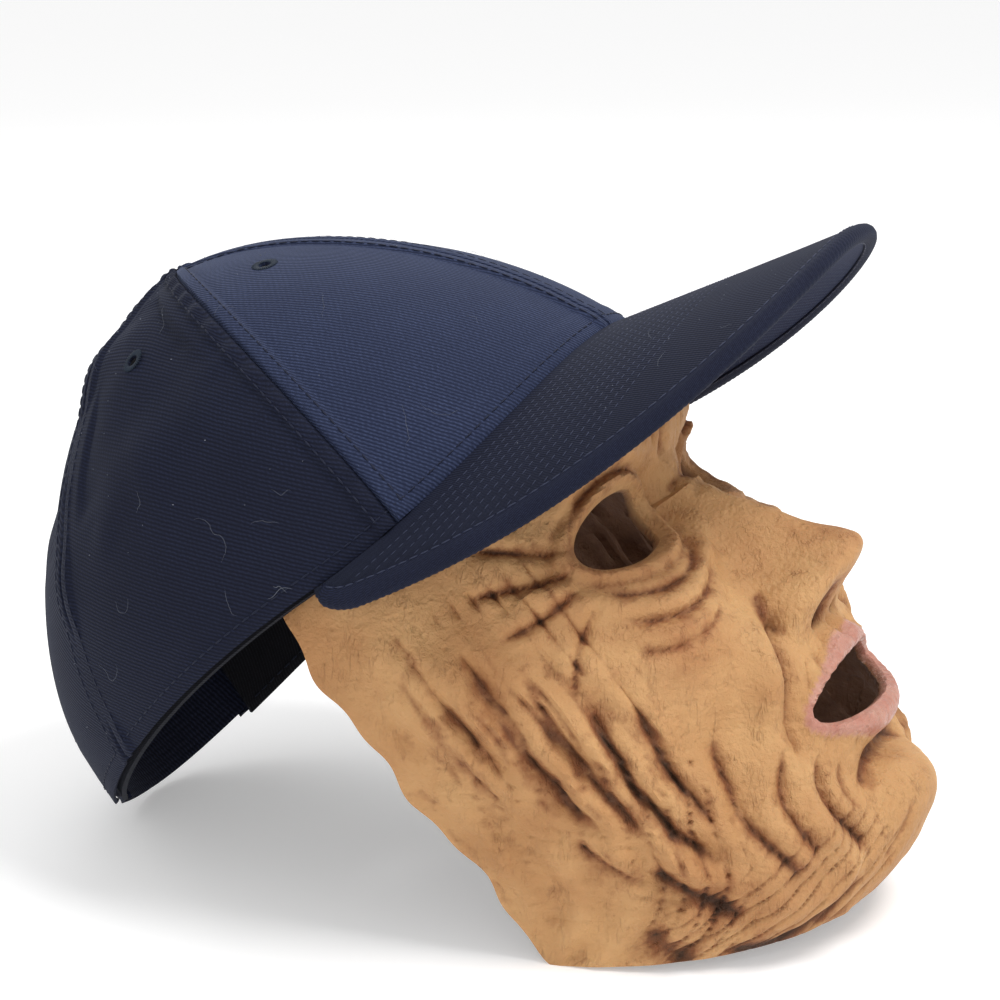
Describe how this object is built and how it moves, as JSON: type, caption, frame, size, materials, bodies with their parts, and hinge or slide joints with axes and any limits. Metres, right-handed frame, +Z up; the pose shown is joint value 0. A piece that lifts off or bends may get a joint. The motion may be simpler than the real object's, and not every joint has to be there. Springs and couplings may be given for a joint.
{
  "type": "latex halloween mask",
  "caption": "Latex old-man half mask with eye holes and a parted mouth, stitched under a navy twill baseball cap with a stiff curved visor and a hook-and-loop back strap.",
  "frame": {"origin": "bottom centre of the bounding box, on the surface it rests on", "axes": "+X is the way the face looks as it rests, tipped back about 37 degrees; +Y is the wearer's left; +Z is up. It rests on both jaw tips and the nape of the cap."},
  "size_m": [0.2552, 0.1718, 0.1844],
  "materials": {
    "navy_twill": "matte",
    "navy_thread": "matte",
    "stiffener": "matte",
    "black_tape": "matte",
    "hook_pile": "matte",
    "visor_plastic": "matte",
    "latex_skin": "matte",
    "pale_thread": "matte"
  },
  "bodies": {
    "root": {"front_panel_left": "navy_twill", "front_panel_right": "navy_twill", "side_panel_left": "navy_twill", "side_panel_right": "navy_twill", "back_panel_left": "navy_twill", "back_panel_right": "navy_twill", "sewn_eyelets": "navy_thread", "crown_knot": "navy_thread", "front_buckram_left": "stiffener", "front_buckram_right": "stiffener", "seam_tape_centre": "black_tape", "seam_tape_left_front": "black_tape", "seam_tape_right_front": "black_tape", "sweatband": "black_tape", "arch_binding": "navy_twill", "loop_strap": "navy_twill", "loop_patch": "hook_pile", "hook_strap_root": "navy_twill", "visor_board": "visor_plastic", "visor_top_cloth": "navy_twill", "visor_under_cloth": "navy_twill", "visor_piping": "navy_twill", "latex_face": "latex_skin", "tack_stitches": "pale_thread"},
    "closure_tab": {"hook_strap_tab": "navy_twill", "hook_patch": "hook_pile"}
  },
  "joints": [
    {"name": "closure_tab_peel", "type": "hinge", "parent": "root", "child": "closure_tab", "pos_m": [-0.10399, -0.02951, 0.01803], "axis": [-0.6034, 0, 0.7974], "range_deg": [0, 110]}
  ]
}
